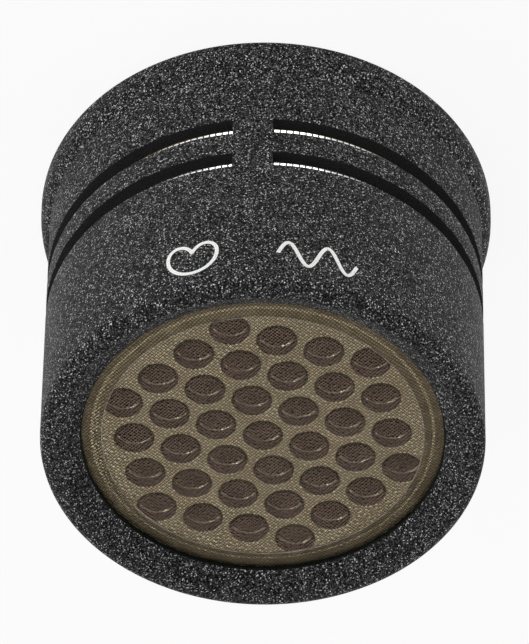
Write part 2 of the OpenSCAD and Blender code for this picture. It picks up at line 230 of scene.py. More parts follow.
# Painted shade for the lip's inner edge: near black with a green tinge, in soft patches.
lip_shade_black = (0.0027, 0.0032, 0.0027)
lip_shade_green = (0.007, 0.009, 0.007)
lip_patch = 0.15 * MM


def new_finish(name, colour, roughness, metallic=0.0):
    """A material whose patterns are added one by one."""
    finish = bpy.data.materials.new(name)
    finish.use_nodes = True
    shader = finish.node_tree.nodes["Principled BSDF"]
    shader.inputs["Base Color"].default_value = (*colour, 1)
    shader.inputs["Roughness"].default_value = roughness
    shader.inputs["Metallic"].default_value = metallic
    return finish


def pattern(finish, kind, size, lathe=False, output=0, **settings):
    """A texture with features of one size, in the piece's own coordinates or along its lathe marks."""
    tree = finish.node_tree
    place = tree.nodes.new("ShaderNodeTexCoord").outputs["Object"]
    if lathe:
        split = tree.nodes.new("ShaderNodeSeparateXYZ")
        tree.links.new(place, split.inputs["Vector"])
        flat = tree.nodes.new("ShaderNodeCombineXYZ")
        tree.links.new(split.outputs["X"], flat.inputs["X"])
        tree.links.new(split.outputs["Y"], flat.inputs["Y"])
        reach = tree.nodes.new("ShaderNodeVectorMath")
        reach.operation = "LENGTH"
        tree.links.new(flat.outputs["Vector"], reach.inputs[0])
        marks = tree.nodes.new("ShaderNodeCombineXYZ")
        tree.links.new(reach.outputs["Value"], marks.inputs["X"])
        tree.links.new(split.outputs["Z"], marks.inputs["Z"])
        place = marks.outputs["Vector"]
    mapping = tree.nodes.new("ShaderNodeMapping")
    mapping.inputs["Scale"].default_value = (1 / size, 1 / size, 1 / size)
    tree.links.new(place, mapping.inputs["Vector"])
    texture = tree.nodes.new(kind)
    texture.inputs["Scale"].default_value = 1
    for socket, value in settings.items():
        texture.inputs[socket].default_value = value
    tree.links.new(mapping.outputs["Vector"], texture.inputs["Vector"])
    return texture.outputs[output]


def tint(finish, value, stops):
    """Leads a pattern through a ramp of colours to the shader."""
    tree = finish.node_tree
    ramp = tree.nodes.new("ShaderNodeValToRGB")
    while len(ramp.color_ramp.elements) < len(stops):
        ramp.color_ramp.elements.new(0.5)
    for element, (at, colour) in zip(ramp.color_ramp.elements, stops):
        element.position = at
        element.color = (*colour, 1)
    tree.links.new(value, ramp.inputs["Fac"])
    tree.links.new(ramp.outputs["Color"], tree.nodes["Principled BSDF"].inputs["Base Color"])


def relief(finish, value, height):
    """Raises the surface where a pattern is bright, on top of the relief it already has."""
    tree = finish.node_tree
    bump = tree.nodes.new("ShaderNodeBump")
    bump.inputs["Distance"].default_value = height
    tree.links.new(value, bump.inputs["Height"])
    normal = tree.nodes["Principled BSDF"].inputs["Normal"]
    if normal.is_linked:
        tree.links.new(normal.links[0].from_socket, bump.inputs["Normal"])
    tree.links.new(bump.outputs["Normal"], normal)


def mottle(finish, size, dark, bright, start=0.35, end=0.65, detail=4.0):
    """Lets the colour change from dark to bright in soft patches of one size."""
    patches = pattern(finish, "ShaderNodeTexNoise", size, Detail=detail)
    tint(finish, patches, [(start, dark), (end, bright)])


def roughen(finish, size, low, high):
    """Lets the roughness change in soft patches of one size."""
    tree = finish.node_tree
    spread = tree.nodes.new("ShaderNodeMapRange")
    spread.inputs["To Min"].default_value = low
    spread.inputs["To Max"].default_value = high
    tree.links.new(pattern(finish, "ShaderNodeTexNoise", size), spread.inputs["Value"])
    tree.links.new(spread.outputs["Result"], tree.nodes["Principled BSDF"].inputs["Roughness"])


paint = new_finish("dark_grain_paint", paint_mid, roughness=0.5)
grains = pattern(paint, "ShaderNodeTexVoronoi", paint_grain, output="Color", Randomness=1.0)
tint(paint, grains, paint_stops)
relief(paint, pattern(paint, "ShaderNodeTexNoise", paint_grain, Detail=2.0), paint_relief)
slot_black = new_finish("slot_black", slot_dark, roughness=0.55)
mottle(slot_black, paint_grain, slot_dark, slot_worn, start=0.4, end=0.7, detail=2.0)
lip_painted_shade = new_finish("lip_painted_shade", lip_shade_black, roughness=0.4)
mottle(lip_painted_shade, lip_patch, lip_shade_black, lip_shade_green, end=0.7, detail=2.0)
for finish in (paint, slot_black, lip_painted_shade):
    finish.node_tree.nodes["Principled BSDF"].inputs["Specular IOR Level"].default_value = paint_gloss
    housing.data.materials.append(finish)
# Slot walls take the smooth black, and the lip's inner edge takes the painted shade.
for face in housing.data.polygons:
    reach = math.hypot(face.center.x, face.center.y)
    by_slots = slot_levels[0] - edge_break < face.center.z < slot_levels[-1] + edge_break
    if by_slots and bore_r < reach < body_r - edge_break / 2:
        face.material_index = housing.data.materials.find(slot_black.name)
    elif face.center.z > seat_z + edge_break and reach < lip_band_r:
        face.material_index = housing.data.materials.find(lip_painted_shade.name)
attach(housing, "root")
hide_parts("housing")

# Rear thread
# The female thread that screws on to the microphone body is cut into the rear bore. The paint
# stops short of it, so the brass of the thread and of the bore behind it is bare.
thread_pitch = 0.5 * MM
thread_crest_r = 9.9 * MM
thread_bite = 0.02 * MM
thread_root_r = thread_r + thread_bite
thread_flank = 0.4 * thread_pitch
thread_flat = 0.1 * thread_pitch
thread_turns = 5
thread_steps = 120
brass = (0.62, 0.44, 0.20)
brass_dark = (0.40, 0.27, 0.11)
turning_mark = 0.05 * MM
turning_depth = 0.004 * MM
handled_patch = 0.8 * MM
brass_stops = [(0.3, brass_dark), (0.65, brass)]

thread = draw("housing_thread", [
    (thread_root_r, lead_in), (thread_crest_r, lead_in + thread_flank),
    (thread_crest_r, lead_in + thread_flank + thread_flat),
    (thread_root_r, lead_in + 2 * thread_flank + thread_flat),
])
bpy.ops.object.mode_set(mode="OBJECT")
winding = thread.modifiers.new("winding", "SCREW")
winding.screw_offset = thread_pitch
winding.iterations = thread_turns
winding.steps = winding.render_steps = thread_steps
bpy.ops.object.modifier_apply(modifier="winding")
edit(thread)
bpy.ops.mesh.select_all(action="SELECT")
bpy.ops.mesh.fill_holes(sides=4)
bpy.ops.mesh.select_all(action="SELECT")
bpy.ops.mesh.normals_make_consistent(inside=False)
bpy.ops.object.mode_set(mode="OBJECT")
bpy.ops.object.shade_smooth_by_angle(angle=math.radians(smooth_angle))

turned_brass = new_finish("turned_brass_bare", brass, roughness=0.3, metallic=1.0)
marks = pattern(turned_brass, "ShaderNodeTexNoise", turning_mark, lathe=True, Detail=3.0)
tint(turned_brass, marks, brass_stops)
relief(turned_brass, marks, turning_depth)
roughen(turned_brass, handled_patch, low=0.22, high=0.42)
thread.data.materials.append(turned_brass)
housing.data.materials.append(turned_brass)
for face in housing.data.polygons:
    x, y, z = face.center
    if math.hypot(x, y) < thread_r + edge_break and z < slot_levels[0] - edge_break:
        face.material_index = housing.data.materials.find(turned_brass.name)
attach(thread, "root")

# Printed signs
# Two white signs are printed on the wall near the front edge: the outline of the pickup pattern,
# and a plain sound wave. The ink is thin and follows the grain of the paint.
print_stroke = 0.19 * MM
ink_lift = 0.008 * MM
ink_depth = 0.02 * MM
ink_white = (0.80, 0.80, 0.78)
ink_worn = (0.52, 0.52, 0.51)
ink_stops = [(0.30, ink_worn), (0.45, ink_white)]
ink_patch = 1.5 * paint_grain
ink_relief = paint_relief / 4
pickup_angle = math.radians(-71.05)
pickup_z = 14.46 * MM
pickup_reach = 1.30 * MM
pickup_dent = 1.20 * MM
pickup_narrow = 0.93
pickup_sharpness = 14
pickup_steps = 96
wave_angle = math.radians(-103.5)
wave_z = 14.85 * MM
wave_length = 1.9 * MM
wave_height = 0.75 * MM
wave_count = 2
wave_steps = 64


def printed(name, path, angle, height, closed):
    """Prints a line of even width on the wall, through points (along, up) of the wall laid flat."""
    last = len(path) - 1
    edges = []
    for side in (0.5, -0.5):
        edge = []
        for i, (along, up) in enumerate(path):
            before = path[i - 1] if i or closed else path[0]
            after = path[(i + 1) % len(path)] if i < last or closed else path[last]
            run, rise = after[0] - before[0], after[1] - before[1]
            shift = side * print_stroke / math.hypot(run, rise)
            edge.append((along - rise * shift, up + run * shift))
        edges.append(draw(name, edge, closed))
        bpy.ops.object.mode_set(mode="OBJECT")
    edges[0].select_set(True)
    bpy.ops.object.join()
    sign = bpy.context.object
    sign.name = name
    edit(sign, "EDGE")
    bpy.ops.mesh.select_all(action="SELECT")
    bpy.ops.mesh.bridge_edge_loops()
    bpy.ops.object.mode_set(mode="OBJECT")
    for vertex in sign.data.vertices:
        turn = angle + vertex.co.x / body_r
        radius = body_r + ink_lift
        vertex.co = (radius * math.cos(turn), radius * math.sin(turn), height + vertex.co.z)
    edit(sign)
    bpy.ops.mesh.select_all(action="SELECT")
    bpy.ops.mesh.normals_make_consistent(inside=False)
    bpy.ops.object.mode_set(mode="OBJECT")
    ink = sign.modifiers.new("ink", "SOLIDIFY")
    ink.thickness = ink_depth
    ink.offset = -1
    bpy.ops.object.modifier_apply(modifier="ink")
    return sign


pickup_path = []
for i in range(pickup_steps):
    t = 2 * math.pi * i / pickup_steps
    reach = pickup_reach - pickup_dent * math.cos(t / 2) ** pickup_sharpness
    pickup_path.append((pickup_narrow * reach * math.sin(t), -reach * math.cos(t)))
wave_path = []
for i in range(wave_steps + 1):
    along = wave_length * wave_count * (i / wave_steps - 0.5)
    wave_path.append((along, wave_height * math.sin(2 * math.pi * along / wave_length)))

ink_finish = new_finish("white_print", ink_white, roughness=0.45)
ink_grain = pattern(ink_finish, "ShaderNodeTexNoise", ink_patch, Detail=2.0)
tint(ink_finish, ink_grain, ink_stops)
relief(ink_finish, ink_grain, ink_relief)
for sign in (
    printed("pickup_sign", pickup_path, pickup_angle, pickup_z, True),
    printed("wave_sign", wave_path, wave_angle, wave_z, False),
):
    sign.data.materials.append(ink_finish)
    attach(sign, "root")

# Front gauze
# A plain weave of fine bronze wire covers the sound inlet. It lies flat on the raised middle of the
# plate, is folded and slopes down round it, and a flat bronze rim holds it under the lip of the
# housing. The wires over the plate between its holes get a darker copy of the bronze as painted
# shade, and the fold is painted pale as a highlight along the crease.
weave_pitch = 0.138 * MM
wire_d = 0.046 * MM
wire_crimp = 0.023 * MM
weave_angle = math.radians(49.95)
weave_r = 8.75 * MM
gauze_r = 9.65 * MM
crease_r = 7.65 * MM
slope_end_r = 8.25 * MM
gauze_top_z = 16.128 * MM
gauze_rim_z = 16.007 * MM
slope_steps = 8
rim_sheet = 0.02 * MM
fold_d = 0.024 * MM
fold_steps = 160
# Painted highlight along the crease of the fold: pale bronze in soft patches.
fold_highlight_pale = (0.34, 0.32, 0.285)
fold_highlight_grey = (0.19, 0.178, 0.158)
bronze = (0.17, 0.122, 0.095)
bronze_dark = (0.13, 0.094, 0.073)
bronze_rim = (0.36, 0.30, 0.19)
bronze_rim_dark = (0.26, 0.215, 0.13)
# Painted shade for the wires over the plate: a darker copy of the bronze.
wire_shade_brown = (0.10, 0.08, 0.052)
wire_shade_black = (0.07, 0.055, 0.036)
tarnish_patch = 0.9 * MM
fold_patch = 0.5 * MM
rub_patch = 0.3 * MM
wire_rub = 0.1 * MM

plate_hole_r = 0.95 * MM
hole_pitch = 2.3067 * MM
hole_rings = 3
hole_angle = math.radians(-16.46)

# The holes of the plate lie in rings of a hexagonal pattern round the middle one.
holes = []
for q in range(-hole_rings, hole_rings + 1):
    for r in range(-hole_rings, hole_rings + 1):
        if abs(q + r) <= hole_rings:
            x, y = hole_pitch * (q + r / 2), hole_pitch * r * math.sqrt(3) / 2
            holes.append((
                x * math.cos(hole_angle) - y * math.sin(hole_angle),
                x * math.sin(hole_angle) + y * math.cos(hole_angle),
            ))


def slope(r):
    """How far the gauze has come down at a radius, from 0 on the middle to 1 on the rim."""
    t = min(max((r - crease_r) / (slope_end_r - crease_r), 0), 1)
    return t * t * (3 - 2 * t)


crossings = int(weave_r / weave_pitch)


def weave(name, first):
    """Lays one set of wires along X, each crimped over and under the wires that it crosses."""
    bpy.ops.object.select_all(action="DESELECT")
    bpy.ops.mesh.primitive_cylinder_add(
        vertices=4, radius=wire_d / 2, depth=2 * crossings * weave_pitch, rotation=(0, math.pi / 2, 0)
    )
    wires = bpy.context.object
    wires.name = name
    bpy.ops.object.transform_apply(rotation=True)
    edit(wires, "EDGE")
    bpy.ops.object.mode_set(mode="OBJECT")
    for edge in wires.data.edges:
        ends = [wires.data.vertices[i].co.x for i in edge.vertices]
        edge.select = abs(ends[0] - ends[1]) > weave_pitch
    bpy.ops.object.mode_set(mode="EDIT")
    bpy.ops.mesh.subdivide(number_cuts=2 * crossings - 1)
    bpy.ops.mesh.select_all(action="SELECT")
    bpy.ops.transform.translate(value=(0, -crossings * weave_pitch, 0))
    bpy.ops.object.mode_set(mode="OBJECT")
    row = wires.modifiers.new("row", "ARRAY")
    row.count = 2 * crossings + 1
    row.use_relative_offset = False
    row.use_constant_offset = True
    row.constant_offset_displace = (0, weave_pitch, 0)
    bpy.ops.object.modifier_apply(modifier="row")
    edit(wires)
    bpy.ops.object.mode_set(mode="OBJECT")
    for vertex in wires.data.vertices:
        i, j = round(vertex.co.x / weave_pitch), round(vertex.co.y / weave_pitch)
        reach = weave_pitch * math.hypot(i, j)
        over = wire_crimp if (i + j + first) % 2 else -wire_crimp
        vertex.co.z += gauze_top_z + slope(reach) * (gauze_rim_z - gauze_top_z) + over
        vertex.select = reach > weave_r
    bpy.ops.object.mode_set(mode="EDIT")
    bpy.ops.mesh.delete(type="VERT")
    bpy.ops.mesh.select_all(action="SELECT")
    bpy.ops.mesh.fill_holes(sides=4)
    bpy.ops.mesh.select_all(action="SELECT")
    bpy.ops.mesh.normals_make_consistent(inside=False)
    bpy.ops.object.mode_set(mode="OBJECT")
    bpy.ops.object.shade_smooth()
    return wires


across = weave("gauze_wires_across", 0)
upright = weave("gauze_wires_upright", 1)
edit(upright)
bpy.ops.mesh.select_all(action="SELECT")
bpy.ops.transform.rotate(value=math.pi / 2, orient_axis="Z", center_override=(0, 0, 0))
bpy.ops.object.mode_set(mode="OBJECT")
for wires in (across, upright):
    edit(wires)
    bpy.ops.mesh.select_all(action="SELECT")
    bpy.ops.transform.rotate(value=-weave_angle, orient_axis="Z", center_override=(0, 0, 0))
    bpy.ops.object.mode_set(mode="OBJECT")

rim_top_z = gauze_rim_z - wire_crimp - wire_d / 2
slope_radii = [crease_r + (slope_end_r - crease_r) * i / slope_steps for i in range(slope_steps + 1)]
fall = gauze_rim_z - gauze_top_z
sheet = [(r, rim_top_z + (slope(r) - 1) * fall) for r in slope_radii] + [(gauze_r, rim_top_z)]
gauze_rim = turned("gauze_rim", sheet + [(r, z - rim_sheet) for r, z in reversed(sheet)])
bpy.ops.object.shade_smooth_by_angle(angle=math.radians(smooth_angle))

bpy.ops.object.select_all(action="DESELECT")
bpy.ops.mesh.primitive_torus_add(
    major_radius=crease_r, minor_radius=fold_d / 2, major_segments=fold_steps, minor_segments=6,
    location=(0, 0, gauze_top_z + wire_d / 2),
)
fold = bpy.context.object
fold.name = "gauze_fold"
bpy.ops.object.transform_apply(location=True)
bpy.ops.object.shade_smooth()

woven_bronze = new_finish("woven_bronze", bronze, roughness=0.25, metallic=1.0)
mottle(woven_bronze, tarnish_patch, bronze_dark, bronze, end=0.62)
roughen(woven_bronze, wire_rub, low=0.2, high=0.32)
wires_shaded = new_finish("bronze_painted_shade", wire_shade_brown, roughness=0.3, metallic=1.0)
mottle(wires_shaded, tarnish_patch, wire_shade_black, wire_shade_brown, end=0.62)
rim_bronze = new_finish("rim_bronze", bronze_rim, roughness=0.4, metallic=1.0)
mottle(rim_bronze, tarnish_patch, bronze_rim_dark, bronze_rim, end=0.62)
roughen(rim_bronze, rub_patch, low=0.32, high=0.5)
# Wires over the plate keep the painted shade, and those over the holes get the plain bronze.
for wires in (across, upright):
    wires.data.materials.append(wires_shaded)
    wires.data.materials.append(woven_bronze)
    edit(wires)
    bpy.ops.object.mode_set(mode="OBJECT")
    for vertex in wires.data.vertices:
        x, y, z = vertex.co
        vertex.select = any((x - a) ** 2 + (y - b) ** 2 < plate_hole_r ** 2 for a, b in holes)
    wires.active_material_index = wires.data.materials.find(woven_bronze.name)
    bpy.ops.object.mode_set(mode="EDIT")
    bpy.ops.object.material_slot_assign()
    bpy.ops.object.mode_set(mode="OBJECT")
gauze_rim.data.materials.append(rim_bronze)
# The fold's pale finish is a painted highlight.
fold_painted_highlight = new_finish("fold_painted_highlight", fold_highlight_pale, roughness=0.35, metallic=1.0)
mottle(fold_painted_highlight, fold_patch, fold_highlight_grey, fold_highlight_pale, start=0.4, end=0.6)
fold.data.materials.append(fold_painted_highlight)
for piece in (across, upright, gauze_rim, fold):
    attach(piece, "root")
    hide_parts("front_gauze")

# Perforated plate
# A brass plate with 37 drilled holes carries the gauze. Its middle is raised by a shallow step. Its
# brass colour is lightened as painted light under the gauze's shade, the hole walls carry painted
# shade in dark brown, and the drill left a thin bright ledge round the deep end of each hole.
plate_r = 9.71 * MM
plate_low_z = 15.4 * MM
plate_rim_z = 15.98 * MM
plateau_z = 16.08 * MM
hole_round = 0.07 * MM
hole_round_end = 110
hole_round_steps = 4
hole_steps = 48
burr = 0.05 * MM
past = 0.1 * MM
slope_clear = 0.03 * MM
# The plate's brass is painted lighter than brass, as painted light against the gauze's shade.
lightened_brass = (1.0, 0.86, 0.60)
lightened_brown = (0.84, 0.70, 0.47)
# Painted shade for the walls inside the holes: near black brown.
hole_shade_dark = (0.017, 0.012, 0.009)
hole_shade_warm = (0.026, 0.018, 0.0125)
burr_cream = (0.34, 0.29, 0.22)
burr_gold = (0.21, 0.18, 0.135)
stain_patch = 1.5 * MM
plate_pit = 0.08 * MM
plate_pit_depth = 0.004 * MM
plate_rub = 0.5 * MM
hole_patch = 0.5 * MM
burr_patch = 0.3 * MM
upright_below = 0.3
flat_above = 0.98
plate_smooth_angle = 30

plate = turned("drilled_plate", [
    (0, plate_low_z), (plate_r, plate_low_z), (plate_r, plate_rim_z - slope_clear),
    (slope_end_r, plate_rim_z - slope_clear), (crease_r, plateau_z), (0, plateau_z),
], closed=False)
brim_centre = (plate_hole_r + hole_round, plateau_z - hole_round)
brim = arc(brim_centre, hole_round, 180, hole_round_end, hole_round_steps)
drill = turned("drill", [
    (0, plate_low_z - past), (plate_hole_r - burr, plate_low_z - past), (plate_hole_r - burr, plate_low_z),
    (plate_hole_r, plate_low_z + burr),
] + brim + [
    (plate_hole_r + hole_round + past, plateau_z + past), (0, plateau_z + past),
], hole_steps, closed=False)
drills = []
for x, y in holes:
    bpy.ops.object.select_all(action="DESELECT")
    drill.select_set(True)
    bpy.context.view_layer.objects.active = drill
    bpy.ops.object.duplicate()
    bit = bpy.context.object
    edit(bit)
    bpy.ops.mesh.select_all(action="SELECT")
    bpy.ops.transform.translate(value=(x, y, 0))
    bpy.ops.object.mode_set(mode="OBJECT")
    drills.append(bit)


def cut(piece, tools):
    """Cuts the joined tools out of a piece, and clears them away."""
    bpy.ops.object.select_all(action="DESELECT")
    for tool in tools:
        tool.select_set(True)
    bpy.context.view_layer.objects.active = tools[0]
    if len(tools) > 1:
        bpy.ops.object.join()
    cutting = piece.modifiers.new("cut", "BOOLEAN")
    cutting.object = tools[0]
    cutting.solver = "EXACT"
    bpy.ops.object.select_all(action="DESELECT")
    piece.select_set(True)
    bpy.context.view_layer.objects.active = piece
    bpy.ops.object.modifier_apply(modifier="cut")
    piece.select_set(False)
    tools[0].select_set(True)
    bpy.ops.object.delete()
    piece.select_set(True)
    bpy.context.view_layer.objects.active = piece


bpy.ops.object.select_all(action="DESELECT")
drill.select_set(True)
bpy.ops.object.delete()
cut(plate, drills)
bpy.ops.object.shade_smooth_by_angle(angle=math.radians(plate_smooth_angle))

drilled_brass = new_finish("drilled_brass", lightened_brass, roughness=0.35, metallic=0.6)
mottle(drilled_brass, stain_patch, lightened_brown, lightened_brass, detail=5.0)
pits = pattern(drilled_brass, "ShaderNodeTexNoise", plate_pit, Detail=2.0)
relief(drilled_brass, pits, plate_pit_depth)
roughen(drilled_brass, plate_rub, low=0.3, high=0.45)
hole_wall_shade = new_finish("hole_wall_shade", hole_shade_dark, roughness=0.5)
mottle(hole_wall_shade, hole_patch, hole_shade_dark, hole_shade_warm)
burr_bright = new_finish("burr_bright", burr_cream, roughness=0.1, metallic=1.0)
mottle(burr_bright, burr_patch, burr_gold, burr_cream, end=0.6, detail=3.0)
for finish in (drilled_brass, hole_wall_shade, burr_bright):
    plate.data.materials.append(finish)
# Hole walls take the painted shade, and the deep ledges take the bright burr finish.
for face in plate.data.polygons:
    in_hole = math.hypot(face.center.x, face.center.y) < slope_end_r
    at_deep_end = face.center.z < plate_low_z + 2 * burr
    if in_hole and abs(face.normal.z) < upright_below:
        face.material_index = plate.data.materials.find(hole_wall_shade.name)
    elif in_hole and upright_below < face.normal.z < flat_above and at_deep_end:
        face.material_index = plate.data.materials.find(burr_bright.name)
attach(plate, "root")
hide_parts("perforated_plate")

# Slot gauze
# A bright gauze band stands behind the slots and keeps dust out. It has flat hoops that lean inward
# and thin upright wires outside them.
band_r = 9.865 * MM
band_low_z = 4.65 * MM
band_high_z = 10.72 * MM
band_wires = 200
band_wire_w = 0.06 * MM
band_wire_t = 0.03 * MM
band_hoops = 60
hoop_out_r = 9.845 * MM
hoop_in_r = 9.79 * MM
hoop_h = 0.09 * MM
hoop_t = 0.02 * MM
hoop_steps = 160
bright_metal = (0.95, 0.95, 0.93)
bright_metal_dull = (0.85, 0.85, 0.83)
bright_patch = 0.4 * MM
bright_rub = 0.1 * MM
hoop_smooth_angle = 20
band_smooth_angle = 50

hoops = turned("slot_hoops", [
    (hoop_in_r, band_low_z), (hoop_out_r, band_low_z), (hoop_out_r, band_low_z + hoop_t),
    (hoop_in_r, band_low_z + hoop_h), (hoop_in_r - hoop_t, band_low_z + hoop_h),
], hoop_steps)
rows = hoops.modifiers.new("rows", "ARRAY")
rows.count = band_hoops
rows.use_relative_offset = False
rows.use_constant_offset = True
rows.constant_offset_displace = (0, 0, (band_high_z - band_low_z - hoop_h) / (band_hoops - 1))
bpy.ops.object.modifier_apply(modifier="rows")
bpy.ops.object.shade_smooth_by_angle(angle=math.radians(hoop_smooth_angle))

bpy.ops.object.select_all(action="DESELECT")
bpy.ops.mesh.primitive_cylinder_add(vertices=8, radius=MM / 2, depth=band_high_z - band_low_z)
band = bpy.context.object
band.name = "slot_wires"
edit(band)
bpy.ops.mesh.select_all(action="SELECT")
bpy.ops.transform.resize(value=(band_wire_t / MM, band_wire_w / MM, 1))
bpy.ops.transform.translate(value=(band_r, 0, (band_low_z + band_high_z) / 2))
bpy.ops.mesh.spin(
    steps=band_wires - 1, dupli=True, angle=2 * math.pi * (band_wires - 1) / band_wires,
    center=(0, 0, 0), axis=(0, 0, 1),
)
bpy.ops.mesh.select_all(action="SELECT")
bpy.ops.mesh.normals_make_consistent(inside=False)
bpy.ops.object.mode_set(mode="OBJECT")
bpy.ops.object.shade_smooth_by_angle(angle=math.radians(band_smooth_angle))

bright_wire = new_finish("bright_wire", bright_metal, roughness=0.2, metallic=1.0)
mottle(bright_wire, bright_patch, bright_metal_dull, bright_metal, start=0.3, end=0.6, detail=3.0)
roughen(bright_wire, bright_rub, low=0.1, high=0.2)
for piece in (hoops, band):
    piece.data.materials.append(bright_wire)
    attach(piece, "root")
    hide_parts("slot_gauze")

# Retaining ring
# A turned brass ring with two spanner notches. It screws into the rear bore behind the rear
# insulator and clamps the whole stack against the lip.
ring_r = 9.84 * MM
ring_bore_r = 7.44 * MM
ring_low_z = 3.2 * MM
ring_high_z = 4.0 * MM
notch_w = 1.4 * MM
notch_depth = 1.2 * MM
notch_cut = ring_high_z - ring_low_z
ring_edge = 0.06 * MM
ring_edge_angle = 50

ring = turned("clamping_ring", [
    (ring_bore_r, ring_low_z), (ring_r, ring_low_z), (ring_r, ring_high_z), (ring_bore_r, ring_high_z),
])
notches = []
for side in (1, -1):
    bpy.ops.object.select_all(action="DESELECT")
    notch_place = (side * (ring_bore_r + notch_depth / 2 - past / 2), 0, ring_low_z)
    bpy.ops.mesh.primitive_cube_add(size=MM, location=notch_place)
    notch = bpy.context.object
    edit(notch)
    bpy.ops.mesh.select_all(action="SELECT")
    bpy.ops.transform.resize(value=((notch_depth + past) / MM, notch_w / MM, notch_cut / MM))
    bpy.ops.object.mode_set(mode="OBJECT")
    bpy.ops.object.transform_apply(location=True)
    notches.append(notch)
cut(ring, notches)
chamfer(ring, ring_edge, angle=ring_edge_angle)
ring.data.materials.append(turned_brass)
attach(ring, "root")
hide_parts("retaining_ring")

# Rear insulator
# A disc with a raised hub, moulded in black plastic. It closes the rear, holds the contact in its
# middle and is clamped by the retaining ring.
disc_r = 9.71 * MM
disc_low_z = 4.0 * MM
disc_high_z = 4.6 * MM
hub_r = 3.0 * MM
hub_low_z = 3.8 * MM
hub_high_z = 5.6 * MM
contact_bore_r = 0.95 * MM
mould_edge = 0.08 * MM
mould_black = (0.012, 0.012, 0.013)
mould_grey = (0.024, 0.024, 0.025)
mould_patch = 0.7 * MM
mould_grain = 0.06 * MM
mould_depth = 0.004 * MM
mould_rub = 0.3 * MM
disc_steps = 160

disc = turned("rear_disc", [
    (contact_bore_r, hub_low_z), (hub_r, hub_low_z), (hub_r, disc_low_z), (disc_r, disc_low_z),
    (disc_r, disc_high_z), (hub_r, disc_high_z), (hub_r, hub_high_z), (contact_bore_r, hub_high_z),
], disc_steps)
chamfer(disc, mould_edge, segments=3)
moulded_black = new_finish("moulded_black", mould_black, roughness=0.42)
mottle(moulded_black, mould_patch, mould_black, mould_grey, end=0.7)
mould_marks = pattern(moulded_black, "ShaderNodeTexNoise", mould_grain, Detail=2.0)
relief(moulded_black, mould_marks, mould_depth)
roughen(moulded_black, mould_rub, low=0.36, high=0.55)
disc.data.materials.append(moulded_black)
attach(disc, "root")
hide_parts("rear_insulator")

# Centre contact
# A gilded brass pin with a domed head touches the contact of the microphone body. The head bears
# on the hub, and a nut holds the pin from inside.
pin_r = 0.9 * MM
pin_end_z = 6.8 * MM
head_r = 1.5 * MM
head_tip_z = 3.1 * MM
head_dome_h = 0.35 * MM
gilt = (0.88, 0.62, 0.24)
gilt_worn = (0.66, 0.46, 0.2)
gilt_patch = 0.3 * MM
gilt_mark_depth = 0.002 * MM
gilt_rub = 0.2 * MM
dome_steps = 8
contact_steps = 72

dome_r = (head_r ** 2 + head_dome_h ** 2) / (2 * head_dome_h)
dome_end = math.degrees(math.asin(head_r / dome_r))
dome = arc((0, head_tip_z + dome_r), dome_r, -90, dome_end - 90, dome_steps)
contact = turned("domed_contact", dome + [
    (head_r, hub_low_z), (pin_r, hub_low_z), (pin_r, pin_end_z), (0, pin_end_z),
], contact_steps, closed=False)
chamfer(contact, edge_break)
gilded = new_finish("gilded_brass", gilt, roughness=0.22, metallic=1.0)
mottle(gilded, gilt_patch, gilt_worn, gilt, start=0.32, end=0.6)
gilt_marks = pattern(gilded, "ShaderNodeTexNoise", turning_mark, lathe=True)
relief(gilded, gilt_marks, gilt_mark_depth)
roughen(gilded, gilt_rub, low=0.16, high=0.32)
contact.data.materials.append(gilded)
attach(contact, "root")
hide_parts("centre_contact")


def dress(finish, *names):
    """Gives frame nodes a finish in place of their plain one."""
    for name in names:
        nodes[name].material_slots[0].material = finish


dress(gilded, "contact_spring", "contact_nut", "terminal_washer", "backplate_screw")

# Turned parts of the stack
# The rings, the delay plate and the sleeve between the front plate and the rear disc are turned
# from brass or from a light alloy and lie loose in the housing until the rear ring clamps them.
alloy = (0.60, 0.60, 0.58)
alloy_dark = (0.40, 0.40, 0.39)
alloy_stops = [(0.3, alloy_dark), (0.65, alloy)]
alloy_rub = 0.6 * MM

turned_alloy = new_finish("turned_alloy_bright", alloy, roughness=0.32, metallic=1.0)
alloy_marks = pattern(turned_alloy, "ShaderNodeTexNoise", turning_mark, lathe=True, Detail=3.0)
tint(turned_alloy, alloy_marks, alloy_stops)
relief(turned_alloy, alloy_marks, turning_depth)
roughen(turned_alloy, alloy_rub, low=0.26, high=0.42)
dress(turned_alloy, "front_spacer", "slot_cage")
dress(turned_brass, "diaphragm_ring", "delay_plate", "backplate")

# Clamping screws and resistance gauze
# Six small steel screws clamp the diaphragm ring to the cup. The very fine gauze over the cup's
# inlet holes is woven from the same steel.
steel = (0.50, 0.50, 0.51)
steel_dark = (0.30, 0.30, 0.31)
steel_patch = 0.2 * MM
steel_rub = 0.1 * MM

screw_steel = new_finish("screw_steel_plain", steel, roughness=0.3, metallic=1.0)
mottle(screw_steel, steel_patch, steel_dark, steel, end=0.6)
roughen(screw_steel, steel_rub, low=0.24, high=0.42)
dress(screw_steel, "ring_screws", "resistance_gauze")

# Diaphragm and its gap ring
# The diaphragm is a film with a thin layer of gold, painted dark as the shade it lies in under the
# plate and gauze, and a clear film ring keeps it off the backplate.
foil_gold_shaded = (0.05, 0.034, 0.022)
foil_shade_dark = (0.035, 0.024, 0.015)
film_clear = (0.55, 0.53, 0.45)
film_dark = (0.42, 0.40, 0.34)
foil_patch = 2.0 * MM
foil_rub = 0.7 * MM
film_patch = 1.2 * MM
film_rub = 0.5 * MM

gold_film_shaded = new_finish("gold_film_shaded", foil_gold_shaded, roughness=0.25, metallic=1.0)
mottle(gold_film_shaded, foil_patch, foil_shade_dark, foil_gold_shaded, detail=3.0)
roughen(gold_film_shaded, foil_rub, low=0.2, high=0.32)
dress(gold_film_shaded, "diaphragm")
clear_ring = new_finish("clear_ring", film_clear, roughness=0.2)
mottle(clear_ring, film_patch, film_dark, film_clear, detail=3.0)
roughen(clear_ring, film_rub, low=0.15, high=0.3)
dress(clear_ring, "gap_ring")

